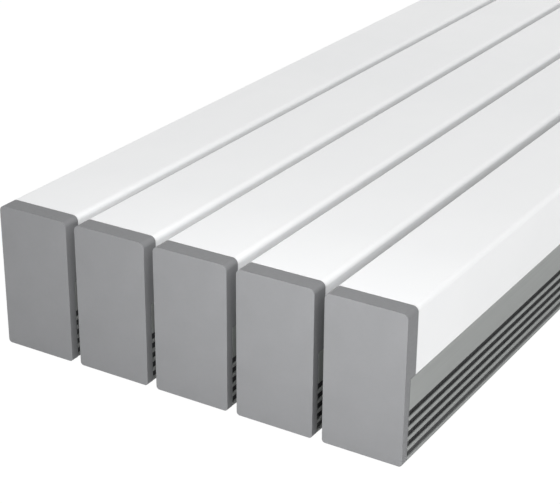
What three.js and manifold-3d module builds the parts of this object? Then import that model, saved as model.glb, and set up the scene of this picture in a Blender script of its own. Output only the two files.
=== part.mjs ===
// A bank of slim baseboard heater modules, side by side on hidden tie bars.
// Millimetres, +Z up. X runs across the row of modules and Y along their length.
// The origin is at the centre of the bank, on the floor.
//
// One module: a folded white cover over a grey lower body. The lower body is a floor tray between
// two slotted side grilles, closed by a moulded cap at each end. A sheathed rod with plate fins
// hangs in two brackets. The wiring compartment is at the far end, +Y.

import * as THREE from "three";
import { mergeVertices } from "three/addons/utils/BufferGeometryUtils.js";
import Module from "manifold-3d";

const wasm = await Module();
wasm.setup();

// ---------------------------------------------------------------- driving dimensions

const MODULES = 5;
const LENGTH = 1000; // over the end caps
const WIDTH = 65; // of one module
const HEIGHT = 120;
const PITCH = 73.2; // module to module
const FIT = 0.3; // gap between pieces that touch

const HALF = WIDTH / 2;
const END = LENGTH / 2;

// cover
const COVER_SHEET = 1.2;
const COVER_EDGE = 67.3; // height of the skirt's lower edge
const COVER_RADIUS = 4.5;

// end cap
const CAP_DEPTH = 15.5;
const CAP_FRONT = 7.5; // depth of the part with the full outline
const CAP_WALL = 3;
const PLUG_HALF = 24; // the lower body's ends close over this plug
const PLUG_FOOT = 0.9;
const CAP_FOOT_RADIUS = 2.7;
const SPIGOT_LENGTH = 12; // tongue that carries the end of the cover
const SPIGOT_WALL = 2;
const SPIGOT_FOOT = 80;
const BOSS_RADIUS = 4;
const BOSS_X = 13;
const BOSS_Z = 14;

// side grille
const GRILLE_SHEET = 1.5;
const GRILLE_FOOT = 1.6; // height of its lower edge
const GRILLE_TOP = COVER_EDGE - FIT;
const LIP_HEIGHT = 10; // lip that the cover's skirt slides over
const SLOTS = 5;
const SLOT_PITCH = 8.1;
const SLOT_HEIGHT = 5.5;
const FIRST_SLOT_TOP = 41.7;
const SLAT_DEPTH = 2.7;
const RIB_THICKNESS = 2;
const RIB_INNER = 24; // x of a rib's inner edge
const RIB_TOP = 60;
const RIB_SPACING = 240;
const RIBS = 5;

// floor tray
const TRAY_SHEET = 1.5;
const TRAY_HALF = 29.5;
const TRAY_TOP = 3.8;
const TRAY_FLANGE_HEIGHT = 24;
const TRAY_FLANGE_HALF = 26;

// heating element
const ROD_Z = 55;
const ROD_RADIUS = 4.2;
const ROD_HALF = 430;
const PIN_RADIUS = 2;
const PIN_LENGTH = 14;
const FINS = 11;
const FIN_SPAN = 720;
const FIN_THICKNESS = 1.2;
const FIN_HALF = 21;
const FIN_HEIGHT = 52;

// element brackets
const BRACKET_Y = 385;
const BRACKET_SHEET = 1.5;
const BRACKET_HALF = 26;
const BRACKET_FOOT_LENGTH = 14;
const HEAD_FOOT = 80;
const HEAD_TOP = 92;

// parts that cross the bank through the lowest slots
const TIE_Y = 160;
const TIE_WIDTH = 25;
const TIE_OVERHANG = 24; // past the outer modules' centre lines
const RACEWAY_Y = 464;
const RACEWAY_WIDTH = 24;
const RACEWAY_WALL = 0.9;
const CROSS_THICKNESS = 4.5; // of a tie bar or the raceway

// wiring compartment
const BLOCK_Y = 433;
const BLOCK_SIZE = [42, 24, 16]; // x, y, z
const BLOCK_WAYS = 3;
const CUTOUT_X = 13;
const CUTOUT_Z = 72;
const GROMMET_Z = 40;
const GROMMET_RADIUS = 8.7;
const GROMMET_FLANGE_RADIUS = 11.7;

// ---------------------------------------------------------------- colours

function finish(color, roughness, metalness) {
  return new THREE.MeshStandardMaterial({ color, roughness, metalness });
}

const white = finish(0xf1f2f2, 0.4, 0);
const greyPlastic = finish(0x9b9d9f, 0.5, 0);
const greyPaint = finish(0x979a98, 0.45, 0.2);
const zinc = finish(0xb4b8ba, 0.4, 0.9);
const finMetal = finish(0xc9ccce, 0.3, 0.95);
const blockNylon = finish(0xe6e2d4, 0.5, 0);
const cutoutBlack = finish(0x26272a, 0.5, 0);
const rubber = finish(0x1c1d1e, 0.8, 0);

// ---------------------------------------------------------------- solids

// A closed geometry as a manifold-3d solid.
function solid(geometry) {
  const bare = geometry.clone();
  bare.deleteAttribute("normal");
  bare.deleteAttribute("uv");
  const merged = mergeVertices(bare, 1e-4);
  return new wasm.Manifold(
    new wasm.Mesh({
      numProp: 3,
      vertProperties: merged.attributes.position.array,
      triVerts: new Uint32Array(merged.index.array),
    }),
  );
}

// A manifold-3d solid as a geometry.
function geometryOf(made) {
  const mesh = made.getMesh();
  const geometry = new THREE.BufferGeometry();
  geometry.setAttribute("position", new THREE.BufferAttribute(mesh.vertProperties, 3));
  geometry.setIndex(new THREE.BufferAttribute(mesh.triVerts, 1));
  geometry.computeVertexNormals();
  return geometry;
}

const join = (solids) => solids.reduce((all, next) => all.add(next));

function box([x0, x1], [y0, y1], [z0, z1]) {
  const geometry = new THREE.BoxGeometry(x1 - x0, y1 - y0, z1 - z0);
  return solid(geometry.translate((x0 + x1) / 2, (y0 + y1) / 2, (z0 + z1) / 2));
}

// A shape drawn in (x, z), extruded from y0 to y1.
function alongY(shape, y0, y1, curveSegments = 4) {
  const geometry = new THREE.ExtrudeGeometry(shape, { depth: y1 - y0, bevelEnabled: false, curveSegments });
  return solid(geometry.rotateX(Math.PI / 2).translate(0, y1, 0));
}

// A round bar along Y, centred on (x, z).
function rod(radius, [x, z], y0, y1, sides = 8) {
  const geometry = new THREE.CylinderGeometry(radius, radius, y1 - y0, sides);
  return solid(geometry.translate(x, (y0 + y1) / 2, z));
}

const polygon = (points) => new THREE.Shape(points.map(([x, z]) => new THREE.Vector2(x, z)));

// The upper outline of a module: two vertical sides and a top with round corners.
function arch(half, foot, top, radius) {
  const shape = new THREE.Shape();
  shape.moveTo(half, foot);
  shape.lineTo(half, top - radius);
  shape.absarc(half - radius, top - radius, radius, 0, Math.PI / 2);
  shape.lineTo(radius - half, top);
  shape.absarc(radius - half, top - radius, radius, Math.PI / 2, Math.PI);
  shape.lineTo(-half, foot);
  return shape;
}

// The whole outline of an end cap: round top corners and smaller round bottom ones.
function capOutline() {
  const shape = arch(HALF, CAP_FOOT_RADIUS, HEIGHT, COVER_RADIUS);
  shape.absarc(CAP_FOOT_RADIUS - HALF, CAP_FOOT_RADIUS, CAP_FOOT_RADIUS, Math.PI, 1.5 * Math.PI);
  shape.absarc(HALF - CAP_FOOT_RADIUS, CAP_FOOT_RADIUS, CAP_FOOT_RADIUS, 1.5 * Math.PI, 2 * Math.PI);
  return shape;
}

// ---------------------------------------------------------------- pieces of one module
// Each is made at x 0 and placed by its module's group.

function cover() {
  const length = END - CAP_DEPTH - FIT;
  const outer = alongY(arch(HALF, COVER_EDGE, HEIGHT, COVER_RADIUS), -length, length, 6);
  const inner = arch(HALF - COVER_SHEET, COVER_EDGE - 1, HEIGHT - COVER_SHEET, COVER_RADIUS - COVER_SHEET);
  return outer.subtract(alongY(inner, -length - 1, length + 1, 6));
}

// The near cap. Its outer face is at -END and its hollow faces +Y. The grilles lap over the plug
// below the cover's edge.
function endCap() {
  const rear = -END + CAP_DEPTH;
  const upper = alongY(arch(HALF, COVER_EDGE, HEIGHT, COVER_RADIUS), -END + 1, rear);
  const plug = box([-PLUG_HALF, PLUG_HALF], [-END + 1, rear], [PLUG_FOOT, COVER_EDGE + 1]);
  const shell = alongY(capOutline(), -END, -END + CAP_FRONT).add(upper).add(plug);

  const pocket = PLUG_HALF - CAP_WALL;
  const pocketHeight = [PLUG_FOOT + CAP_WALL, HEIGHT - CAP_WALL];
  const hollow = box([-pocket, pocket], [-END + CAP_WALL, rear + 1], pocketHeight);

  const reach = HALF - COVER_SHEET - FIT;
  const top = HEIGHT - COVER_SHEET - FIT;
  const tongue = rear + SPIGOT_LENGTH;
  const inside = reach - SPIGOT_WALL;
  const spigot = alongY(arch(reach, SPIGOT_FOOT, top, COVER_RADIUS - COVER_SHEET), rear - 4, tongue).subtract(
    box([-inside, inside], [rear - 5, tongue + 1], [SPIGOT_FOOT - 1, top - SPIGOT_WALL]),
  );

  const bosses = [-BOSS_X, BOSS_X].map((x) => rod(BOSS_RADIUS, [x, BOSS_Z], -END + 1, rear - FIT, 6));
  return join([shell.subtract(hollow), spigot, ...bosses]);
}

// The far cap of the first module also holds the cable grommet.
function grommetHole() {
  const through = rod(GROMMET_RADIUS + FIT, [0, GROMMET_Z], -END - 1, -END + CAP_WALL + 2, 12);
  const seat = rod(GROMMET_FLANGE_RADIUS + FIT, [0, GROMMET_Z], -END - 1, -END + 1.2, 12);
  return through.add(seat);
}

// The right-hand grille: an extruded band with a lip, slats below it, and ribs that hold the slats.
function grille() {
  const skin = HALF - GRILLE_SHEET;
  const slatInner = HALF - SLAT_DEPTH;
  const lipOuter = HALF - COVER_SHEET - FIT;
  const lipInner = lipOuter - GRILLE_SHEET;
  const reach = END - CAP_FRONT - FIT;
  const band = polygon([
    [HALF, FIRST_SLOT_TOP],
    [HALF, GRILLE_TOP],
    [lipOuter, GRILLE_TOP],
    [lipOuter, GRILLE_TOP + LIP_HEIGHT],
    [lipInner, GRILLE_TOP + LIP_HEIGHT],
    [lipInner, GRILLE_TOP - GRILLE_SHEET],
    [skin, GRILLE_TOP - GRILLE_SHEET],
    [skin, FIRST_SLOT_TOP],
  ]);
  const strips = [];
  for (let i = 1; i <= SLOTS; i++) {
    const top = FIRST_SLOT_TOP - SLOT_HEIGHT - (i - 1) * SLOT_PITCH;
    const foot = i < SLOTS ? FIRST_SLOT_TOP - i * SLOT_PITCH : GRILLE_FOOT;
    strips.push(box([slatInner, HALF], [-reach, reach], [foot, top]));
  }
  // A rib stands on the tray, reaches down behind the lowest strip, and backs every slat.
  const rib = polygon([
    [RIB_INNER, TRAY_TOP + FIT],
    [TRAY_HALF + FIT, TRAY_TOP + FIT],
    [TRAY_HALF + FIT, GRILLE_FOOT],
    [skin, GRILLE_FOOT],
    [skin, RIB_TOP],
    [RIB_INNER, FIRST_SLOT_TOP],
  ]);
  const ribs = [];
  for (let i = 0; i < RIBS; i++) {
    const y = (i - (RIBS - 1) / 2) * RIB_SPACING;
    ribs.push(alongY(rib, y - RIB_THICKNESS / 2, y + RIB_THICKNESS / 2));
  }
  // Behind the caps only the slats and the outer skin run on, into the caps' rebates.
  const clear = END - CAP_DEPTH - FIT;
  const ends = [-1, 1].map((s) => {
    const span = [s * clear, s * (END + 1)].sort((a, b) => a - b);
    return box([0, slatInner], span, [-1, HEIGHT]).add(box([0, HALF + 1], span, [GRILLE_TOP, HEIGHT]));
  });
  return join([alongY(band, -reach, reach), ...strips, ...ribs]).subtract(join(ends));
}

function baseTray() {
  const length = END - CAP_DEPTH - FIT;
  const foot = TRAY_TOP - TRAY_SHEET;
  const flange = (s) => {
    const span = [s * (length - TRAY_SHEET), s * length].sort((a, b) => a - b);
    return box([-TRAY_FLANGE_HALF, TRAY_FLANGE_HALF], span, [foot, TRAY_FLANGE_HEIGHT]);
  };
  const floor = box([-TRAY_HALF, TRAY_HALF], [-length, length], [foot, TRAY_TOP]);
  return join([floor, flange(-1), flange(1)]);
}

function finnedElement() {
  const sheath = rod(ROD_RADIUS, [0, ROD_Z], -ROD_HALF, ROD_HALF, 6);
  const pins = [-1, 1].map((s) => {
    const span = [s * (ROD_HALF - 1), s * (ROD_HALF + PIN_LENGTH)].sort((a, b) => a - b);
    return rod(PIN_RADIUS, [0, ROD_Z], span[0], span[1], 6);
  });
  const fins = [];
  for (let i = 0; i < FINS; i++) {
    const y = (i / (FINS - 1) - 0.5) * FIN_SPAN;
    const span = [y - FIN_THICKNESS / 2, y + FIN_THICKNESS / 2];
    fins.push(box([-FIN_HALF, FIN_HALF], span, [ROD_Z - FIN_HEIGHT / 2, ROD_Z + FIN_HEIGHT / 2]));
  }
  return join([sheath, ...pins, ...fins]);
}

// The near bracket: a plate with a foot on the tray and a wide head that guides the cover.
function bracket() {
  const head = HALF - COVER_SHEET - FIT;
  const foot = TRAY_TOP + FIT;
  const plate = polygon([
    [-BRACKET_HALF, foot],
    [BRACKET_HALF, foot],
    [BRACKET_HALF, HEAD_FOOT],
    [head, HEAD_FOOT],
    [head, HEAD_TOP],
    [-head, HEAD_TOP],
    [-head, HEAD_FOOT],
    [-BRACKET_HALF, HEAD_FOOT],
  ]);
  const y = -BRACKET_Y;
  const sheet = alongY(plate, y - BRACKET_SHEET, y);
  const flangeHeight = [foot, foot + BRACKET_SHEET];
  const flange = box([-BRACKET_HALF, BRACKET_HALF], [y - 1, y + BRACKET_FOOT_LENGTH], flangeHeight);
  return sheet.add(flange).subtract(rod(ROD_RADIUS + 2 * FIT, [0, ROD_Z], y - 3, y + 2));
}

function terminalBlock() {
  const [sizeX, sizeY, sizeZ] = BLOCK_SIZE;
  const foot = TRAY_TOP + FIT;
  const depth = [BLOCK_Y - sizeY / 2, BLOCK_Y + sizeY / 2];
  const base = box([-sizeX / 2, sizeX / 2], depth, [foot, foot + sizeZ * 0.55]);
  const cell = sizeX / BLOCK_WAYS;
  const towers = [];
  const entries = [];
  for (let i = 0; i < BLOCK_WAYS; i++) {
    const x = (i - (BLOCK_WAYS - 1) / 2) * cell;
    const span = [BLOCK_Y - sizeY * 0.32, BLOCK_Y + sizeY * 0.32];
    towers.push(box([x - cell * 0.4, x + cell * 0.4], span, [foot + 1, foot + sizeZ]));
    entries.push(rod(2.2, [x, foot + sizeZ * 0.75], BLOCK_Y - sizeY, BLOCK_Y + sizeY, 6));
  }
  return join([base, ...towers]).subtract(join(entries));
}

// A snap-disc cut-out on the outer side of the far bracket.
function thermalCutout() {
  const y = BRACKET_Y + BRACKET_SHEET + FIT;
  const flange = box([CUTOUT_X - 11, CUTOUT_X + 11], [y, y + 1], [CUTOUT_Z - 5, CUTOUT_Z + 5]);
  const drum = rod(7.5, [CUTOUT_X, CUTOUT_Z], y + 0.5, y + 9, 12);
  const tabs = [-1, 1].map((s) => {
    const x = CUTOUT_X + s * 4;
    return box([x - 0.4, x + 0.4], [y + 8, y + 15], [CUTOUT_Z - 3, CUTOUT_Z + 3]);
  });
  return join([flange, drum, ...tabs]);
}

// ---------------------------------------------------------------- pieces that the bank shares

const slotFoot = FIRST_SLOT_TOP - SLOT_HEIGHT - (SLOTS - 1) * SLOT_PITCH;
const crossSpan = ((MODULES - 1) / 2) * PITCH + TIE_OVERHANG;
const crossHeight = [slotFoot + FIT, slotFoot + FIT + CROSS_THICKNESS];

function tieBar(y) {
  return box([-crossSpan, crossSpan], [y - TIE_WIDTH / 2, y + TIE_WIDTH / 2], crossHeight);
}

function wiringRaceway() {
  const [foot, top] = crossHeight;
  const side = RACEWAY_WIDTH / 2;
  const outer = box([-crossSpan, crossSpan], [RACEWAY_Y - side, RACEWAY_Y + side], [foot, top]);
  const inner = side - RACEWAY_WALL;
  const tunnelHeight = [foot + RACEWAY_WALL, top - RACEWAY_WALL];
  return outer.subtract(
    box([-crossSpan - 1, crossSpan + 1], [RACEWAY_Y - inner, RACEWAY_Y + inner], tunnelHeight),
  );
}

// A membrane grommet, made about the Y axis with its outer face at y 0 and its inside towards -Y.
function cableGrommet() {
  const body = GROMMET_RADIUS;
  const flange = GROMMET_FLANGE_RADIUS;
  const profile = [
    [0, -2.6],
    [5.2, -2.6],
    [6, -5],
    [flange - 1, -5],
    [flange - 1, -3.3],
    [body, -3.3],
    [body, -0.9],
    [flange, -0.9],
    [flange, -0.2],
    [flange - 0.4, 0],
    [6.6, 0],
    [5.2, -1.8],
    [0, -1.8],
  ];
  return solid(new THREE.LatheGeometry(profile.map(([r, y]) => new THREE.Vector2(r, y)), 12));
}

// ---------------------------------------------------------------- the bank

const bank = new THREE.Group();

function place(parent, name, geometry, material) {
  const mesh = new THREE.Mesh(geometry, material);
  mesh.name = name;
  parent.add(mesh);
  return mesh;
}

const mirrored = (made) => made.mirror([1, 0, 0]);
const turned = (made) => made.rotate([0, 0, 180]);

const near = endCap();
const far = turned(near);
const support = bracket();
const right = grille();
const shared = {
  cover: [geometryOf(cover()), white],
  grille_left: [geometryOf(mirrored(right)), greyPaint],
  grille_right: [geometryOf(right), greyPaint],
  base_tray: [geometryOf(baseTray()), zinc],
  end_cap_near: [geometryOf(near), greyPlastic],
  end_cap_far: [geometryOf(far), greyPlastic],
  finned_element: [geometryOf(finnedElement()), finMetal],
  bracket_near: [geometryOf(support), zinc],
  bracket_far: [geometryOf(turned(support)), zinc],
  terminal_block: [geometryOf(terminalBlock()), blockNylon],
  thermal_cutout: [geometryOf(thermalCutout()), cutoutBlack],
};
const capWithGrommetHole = geometryOf(turned(near.subtract(grommetHole())));

for (let i = 0; i < MODULES; i++) {
  const unit = new THREE.Group();
  unit.position.x = (i - (MODULES - 1) / 2) * PITCH;
  bank.add(unit);
  for (const [piece, [geometry, material]] of Object.entries(shared)) {
    const holed = piece === "end_cap_far" && i === 0;
    place(unit, `${piece}_${i + 1}`, holed ? capWithGrommetHole : geometry, material);
  }
  if (i === 0) {
    place(unit, "cable_grommet", geometryOf(cableGrommet()), rubber).position.set(0, END, GROMMET_Z);
  }
}

place(bank, "tie_bar_near", geometryOf(tieBar(-TIE_Y)), zinc);
place(bank, "tie_bar_far", geometryOf(tieBar(TIE_Y)), zinc);
place(bank, "wiring_raceway", geometryOf(wiringRaceway()), zinc);

export default bank;
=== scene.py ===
"""The looks of a bank of slim baseboard heater modules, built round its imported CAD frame.

Lengths in the mesh code are millimetres, in the frame's own axes: X across the row of modules, Y along
them and Z up. A module's pieces are made round x 0 and placed at their own module's centre.
"""

import math

import bmesh
import bpy
from mathutils import Matrix, Vector
from mathutils.geometry import tessellate_polygon


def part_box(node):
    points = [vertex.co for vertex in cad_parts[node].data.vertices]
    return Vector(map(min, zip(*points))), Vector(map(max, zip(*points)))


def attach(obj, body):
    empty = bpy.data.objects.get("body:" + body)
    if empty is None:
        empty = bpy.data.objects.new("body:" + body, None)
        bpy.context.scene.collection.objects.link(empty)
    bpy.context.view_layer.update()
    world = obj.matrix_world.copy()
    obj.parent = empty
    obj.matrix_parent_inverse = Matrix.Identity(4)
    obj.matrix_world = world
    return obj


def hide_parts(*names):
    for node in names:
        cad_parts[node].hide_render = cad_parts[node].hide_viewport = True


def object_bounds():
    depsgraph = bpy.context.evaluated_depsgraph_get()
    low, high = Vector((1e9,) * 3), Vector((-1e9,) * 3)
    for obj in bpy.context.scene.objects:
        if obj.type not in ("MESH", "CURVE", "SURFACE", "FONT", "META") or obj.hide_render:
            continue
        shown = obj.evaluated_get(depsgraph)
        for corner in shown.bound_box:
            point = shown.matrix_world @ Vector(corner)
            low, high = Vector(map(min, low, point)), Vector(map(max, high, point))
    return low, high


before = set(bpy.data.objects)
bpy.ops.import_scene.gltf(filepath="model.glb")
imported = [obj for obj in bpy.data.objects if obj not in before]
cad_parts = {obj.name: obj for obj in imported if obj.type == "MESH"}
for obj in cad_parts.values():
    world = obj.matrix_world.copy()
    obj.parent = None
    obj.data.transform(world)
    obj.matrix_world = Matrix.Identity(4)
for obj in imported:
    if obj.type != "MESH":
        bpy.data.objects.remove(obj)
cad_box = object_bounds()

MM = 0.001

# ---------------------------------------------------------------- dimensions of the real parts
# The modules' number, places, width, length and height come from the frame. The other values repeat
# the CAD's, or belong to detail that only the looks have.

MODULES = sum(name.startswith("cover_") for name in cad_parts)
MODULE_X = [sum(corner.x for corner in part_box(f"cover_{k}")) / 2 for k in range(1, MODULES + 1)]
HALF = (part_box("cover_1")[1].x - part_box("cover_1")[0].x) / 2 / MM
END = cad_box[1].y / MM
HEIGHT = cad_box[1].z / MM
FIT = 0.3  # gap between pieces that touch

COVER_SHEET = 1.2
COVER_EDGE = 67.3  # height of the skirt's lower edge
COVER_RADIUS = 4.5

CAP_DEPTH = 15.5
CAP_FRONT = 7.5  # depth of the part with the full outline
CAP_WALL = 3
CAP_FOOT_RADIUS = 2.7
PLUG_HALF = 24  # the lower body's ends close over this plug
PLUG_FOOT = 0.9
SPIGOT_LENGTH = 12  # tongue that carries the end of the cover
SPIGOT_WALL = 2
SPIGOT_FOOT = 80
BOSS_RADIUS = 4
BOSS_BORE = 1.5
BOSS_X = 13
BOSS_Z = 14
CAP_SHELVES = (34, 52, 88)  # heights of the shelves that stiffen the cap
CAP_RIB_HALF = 0.8
CLEAR = END - CAP_DEPTH - FIT  # half the clear length between the caps

GRILLE_SHEET = 1.5
GRILLE_FOOT = 1.6  # height of its lower edge
GRILLE_TOP = COVER_EDGE - FIT
LIP_HEIGHT = 10  # lip that the cover's skirt slides over
SLOTS = 5
SLOT_PITCH = 8.1
SLOT_HEIGHT = 5.5
FIRST_SLOT_TOP = 41.7
SLAT_DEPTH = 1.6  # less than the CAD's, which is the next value
FOOT_SLAT_DEPTH = 2.7  # of the lowest slat
SLAT_NOSE = 1.0  # radius of the slats' upper outer edge
SLOT_FOOT = FIRST_SLOT_TOP - SLOT_HEIGHT - (SLOTS - 1) * SLOT_PITCH  # foot of the lowest slot

COMB_INNER = 26.4  # x of the comb's inner face
COMB_PITCH = 2.4
COMB_TOOTH = 0.9
COMB_TOP = 61

TRAY_HALF = 29.5
TRAY_SHEET = 1.5
TRAY_TOP = 3.8
FLANGE_HALF = 26
FLANGE_HEIGHT = 24
FLOOR_SCREW_Y = (60, 300)
BEAD_X = 17
BEAD_REACH = 350

ROD_Z = 55  # height of the element's axis
ROD_RADIUS = 4.2
ROD_HALF = 430
PIN_HALF = 444
FIN_SPAN = 720
FIN_PITCH = 8
FIN_HALF = 21
FIN_HEIGHT = 52
FIN_HALF_THICKNESS = 0.2
COLLAR_WALL = 0.7
COLLAR_LENGTH = 2.8

BRACKET_Y = 385
BRACKET_SHEET = 1.5
BRACKET_HALF = 26
HEAD_FOOT = 80  # foot of the bracket's wide head
HEAD_TOP = 92

CROSS_FOOT = SLOT_FOOT + FIT  # foot of the parts that cross the bank
CROSS_TOP = CROSS_FOOT + 4.5
CROSS_SPAN = MODULE_X[-1] / MM + 24
TIE_Y = 160
TIE_WIDTH = 25
RACEWAY_Y = 464
RACEWAY_WIDTH = 24

BLOCK_Y = 433
BLOCK_FOOT = TRAY_TOP + FIT
WAYS = (-14, 0, 14)  # x of the terminal block's three ways
CUTOUT_X = 13
CUTOUT_Z = 72
GROMMET_Z = 40
GROMMET_RADIUS = 8.7
GROMMET_FLANGE_RADIUS = 11.7
LEAD_RADIUS = 1.4
RETURN_X = -18  # where the return lead passes the brackets
RETURN_Z = 12

# ---------------------------------------------------------------- outlines, as lists of (u, v)


def rounded(points, radii, steps=5, closed=True):
    """The points with each corner turned into an arc. radii is one number, or one for each corner."""
    made = []
    for i, point in enumerate(points):
        radius = radii if isinstance(radii, (int, float)) else radii[i]
        corner = Vector(point)
        if radius <= 0 or (not closed and i in (0, len(points) - 1)):
            made.append(tuple(corner))
            continue
        back = (Vector(points[i - 1]) - corner).normalized()
        on = (Vector(points[(i + 1) % len(points)]) - corner).normalized()
        half = back.angle(on) / 2
        sweep = math.pi - 2 * half
        centre = corner + (back + on).normalized() * radius / math.sin(half)
        first = corner + back * radius / math.tan(half) - centre
        last = corner + on * radius / math.tan(half) - centre
        for step in range(steps + 1):
            turn = sweep * step / steps
            arm = (first * math.sin(sweep - turn) + last * math.sin(turn)) / math.sin(sweep)
            made.append(tuple(centre + arm))
    return made


def ribbon(points, thickness, radius=0.0, steps=4):
    """The outline of a folded sheet: a line of points with half the thickness on each side."""
    line = [Vector(point) for point in points]
    sides = ([], [])
    for i, point in enumerate(line):
        before = (point - line[i - 1]).normalized() if i else None
        after = (line[i + 1] - point).normalized() if i + 1 < len(line) else None
        before, after = before or after, after or before
        across = Vector((-before.y - after.y, before.x + after.x)).normalized()
        reach = thickness / 2 / max(across.dot(Vector((-before.y, before.x))), 0.3)
        sides[0].append(tuple(point + across * reach))
        sides[1].append(tuple(point - across * reach))
    inner = [rounded(side, radius, steps, closed=False) for side in sides]
    return [*inner[0], *reversed(inner[1])]


def rectangle(u0, u1, v0, v1, radius=0.0, steps=3):
    return rounded([(u0, v0), (u1, v0), (u1, v1), (u0, v1)], radius, steps)


def circle(radius, centre=(0, 0), sides=24):
    turns = [math.tau * i / sides for i in range(sides)]
    return [(centre[0] + radius * math.cos(a), centre[1] + radius * math.sin(a)) for a in turns]


# ---------------------------------------------------------------- solids, as (vertices, faces)

AXES = {
    "x": lambda u, v, w: (w, u, v),
    "y": lambda u, v, w: (u, w, v),
    "z": lambda u, v, w: (u, v, w),
}


def prism(outline, axis, start, stop, holes=()):
    """An outline swept along an axis. It is drawn in (y, z), (x, z) or (x, y) for axis x, y or z."""
    loops = [list(outline), *[list(hole) for hole in holes]]
    flat = [point for loop in loops for point in loop]
    count = len(flat)
    verts = [AXES[axis](u, v, w) for w in (start, stop) for u, v in flat]
    if holes:
        faces = []
        for a, b, c in tessellate_polygon([[Vector((u, v, 0)) for u, v in loop] for loop in loops]):
            faces += [(a, b, c), (c + count, b + count, a + count)]
    else:
        faces = [tuple(range(count)), tuple(range(2 * count - 1, count - 1, -1))]
    first = 0
    for loop in loops:
        size = len(loop)
        for i in range(size):
            a, b = first + i, first + (i + 1) % size
            faces.append((a, b, b + count, a + count))
        first += size
    return verts, faces


def block(x, y, z):
    return prism(rectangle(*x, *y), "z", *z)


def lathe(profile, axis, centre=(0, 0, 0), sides=32):
    """A profile of (radius, place along the axis) turned about the axis through centre.
    It starts and ends on the axis, or closes up on itself."""
    verts, rings, faces = [], [], []
    for radius, along in profile:
        points = circle(radius, sides=sides) if radius > 0 else [(0, 0)]
        rings.append(range(len(verts), len(verts) + len(points)))
        verts += [tuple(Vector(AXES[axis](u, v, along)) + Vector(centre)) for u, v in points]
    pairs = list(zip(rings, rings[1:]))
    if len(rings[0]) > 1:
        pairs.append((rings[-1], rings[0]))
    for low, high in pairs:
        for i in range(sides):
            j = (i + 1) % sides
            if len(low) == 1:
                faces.append((low[0], high[i], high[j]))
            elif len(high) == 1:
                faces.append((low[i], low[j], high[0]))
            else:
                faces.append((low[i], low[j], high[j], high[i]))
    return verts, faces


def tube(points, radius, bend=5.0, sides=10):
    """A round wire along the points, with its corners bent to a radius."""
    path = [Vector(point) for point in rounded(points, bend, 6, closed=False)]
    across = (path[1] - path[0]).orthogonal().normalized()
    verts, faces = [], []
    for i, point in enumerate(path):
        ahead = (path[min(i + 1, len(path) - 1)] - path[max(i - 1, 0)]).normalized()
        across = (across - ahead * across.dot(ahead)).normalized()
        other = ahead.cross(across)
        verts += [tuple(point + across * u + other * v) for u, v in circle(radius, sides=sides)]
    for i in range(len(path) - 1):
        for j in range(sides):
            a, b = i * sides + j, i * sides + (j + 1) % sides
            faces.append((a, b, b + sides, a + sides))
    last = (len(path) - 1) * sides
    return verts, [*faces, tuple(range(sides)), tuple(range(last + sides - 1, last - 1, -1))]


def facing(made, way, place):
    """A solid that was drawn standing on z 0, turned to face a way and put at a place."""
    verts, faces = made
    turn = Vector((0, 0, 1)).rotation_difference(Vector(way)).to_matrix()
    return [tuple(turn @ Vector(v) + Vector(place)) for v in verts], faces


def mirrored(made):
    verts, faces = made
    return [(-x, y, z) for x, y, z in verts], faces


def turned(made):
    """The solid turned half round the vertical axis, for the bank's other end."""
    verts, faces = made
    return [(-x, -y, z) for x, y, z in verts], faces


# ---------------------------------------------------------------- meshes


def raw_mesh(name, solids):
    verts, faces = [], []
    for part_verts, part_faces in solids:
        first = len(verts)
        verts += [tuple(c * MM for c in v) for v in part_verts]
        faces += [tuple(first + i for i in face) for face in part_faces]
    data = bpy.data.meshes.new(name)
    data.from_pydata(verts, [], faces)
    bm = bmesh.new()
    bm.from_mesh(data)
    bmesh.ops.recalc_face_normals(bm, faces=bm.faces)
    bm.to_mesh(data)
    bm.free()
    return data


def modified(data, *modifiers):
    """The mesh with modifiers applied. Each is its type and its settings."""
    holder = bpy.data.objects.new("holder", data)
    bpy.context.scene.collection.objects.link(holder)
    for kind, settings in modifiers:
        modifier = holder.modifiers.new(kind, kind)
        for key, value in settings.items():
            setattr(modifier, key, value)
    graph = bpy.context.evaluated_depsgraph_get()
    made = bpy.data.meshes.new_from_object(
        holder.evaluated_get(graph), preserve_all_data_layers=True, depsgraph=graph
    )
    made.name = data.name
    bpy.data.objects.remove(holder)
    return made


def combine(first, others, operation="UNION"):
    """One solid joined with, or cut by, the others."""
    tool = bpy.data.objects.new("tool", raw_mesh("tool", others))
    bpy.context.scene.collection.objects.link(tool)
    settings = {"object": tool, "operation": operation, "solver": "EXACT", "use_self": len(others) > 1}
    made = modified(raw_mesh("first", [first]), ("BOOLEAN", settings))
    bpy.data.objects.remove(tool)
    verts = [tuple(c / MM for c in v.co) for v in made.vertices]
    return verts, [tuple(face.vertices) for face in made.polygons]


def finished(name, solids, material, bevel=0.0, segments=2, angle=50):
    """A smooth-shaded mesh of the solids, with rounded edges where bevel isn't zero."""
    data = raw_mesh(name, solids)
    if bevel:
        settings = {
            "width": bevel * MM,
            "segments": segments,
            "limit_method": "ANGLE",
            "angle_limit": math.radians(angle),
            "use_clamp_overlap": True,
        }
        data = modified(data, ("BEVEL", settings))
    data.shade_smooth()
    data.set_sharp_from_angle(angle=math.radians(40))
    data = modified(data, ("WEIGHTED_NORMAL", {"keep_sharp": True}))
    data.materials.clear()
    data.materials.append(material)
    return data


def piece(name, data, body="base", x=0.0, replaces=()):
    made = bpy.data.objects.new(name, data)
    made.location.x = x
    bpy.context.scene.collection.objects.link(made)
    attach(made, body)
    if replaces:
        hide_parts(*replaces)
    return made


# ---------------------------------------------------------------- materials


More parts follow.
